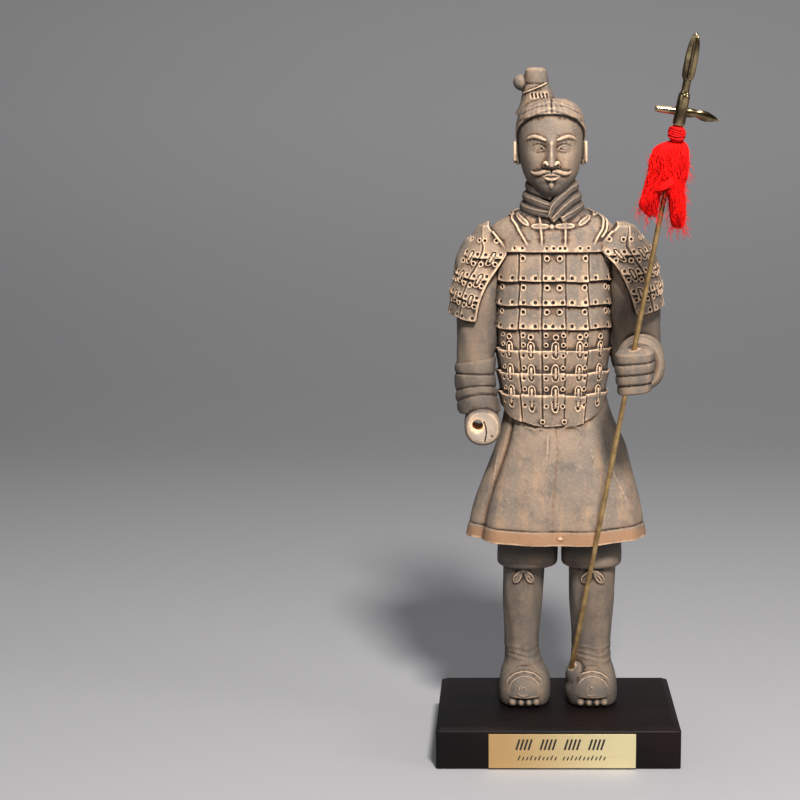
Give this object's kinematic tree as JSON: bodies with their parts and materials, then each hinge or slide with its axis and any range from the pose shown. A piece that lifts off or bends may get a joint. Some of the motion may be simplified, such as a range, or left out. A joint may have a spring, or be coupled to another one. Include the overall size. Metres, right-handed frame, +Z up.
{
  "type": "terracotta warrior statue",
  "caption": "Standing armoured clay warrior that holds a tasselled brass spear, on a chamfered black wooden plinth with a plain brass plate.",
  "frame": {"origin": "centre of the plinth's underside", "axes": "+Z up, the figure faces -Y, +X is the figure's left"},
  "size_m": [0.116, 0.1056, 0.3116],
  "materials": {
    "clay": "unglazed fired clay with a grey-black patina, rubbed pale orange on its raised edges",
    "lacquered_wood": "semi-gloss black lacquer",
    "plate_brass": "fine brushed",
    "spear_brass": "aged, polished on the ridges",
    "red_floss": "loose silky threads"
  },
  "bodies": {
    "root": {"warrior_figure": "clay", "plinth": "lacquered_wood", "nameplate": "plate_brass", "spear_shaft": "spear_brass", "spear_head": "spear_brass", "tassel": "red_floss", "tassel_binding": "red_floss"}
  },
  "joints": []
}
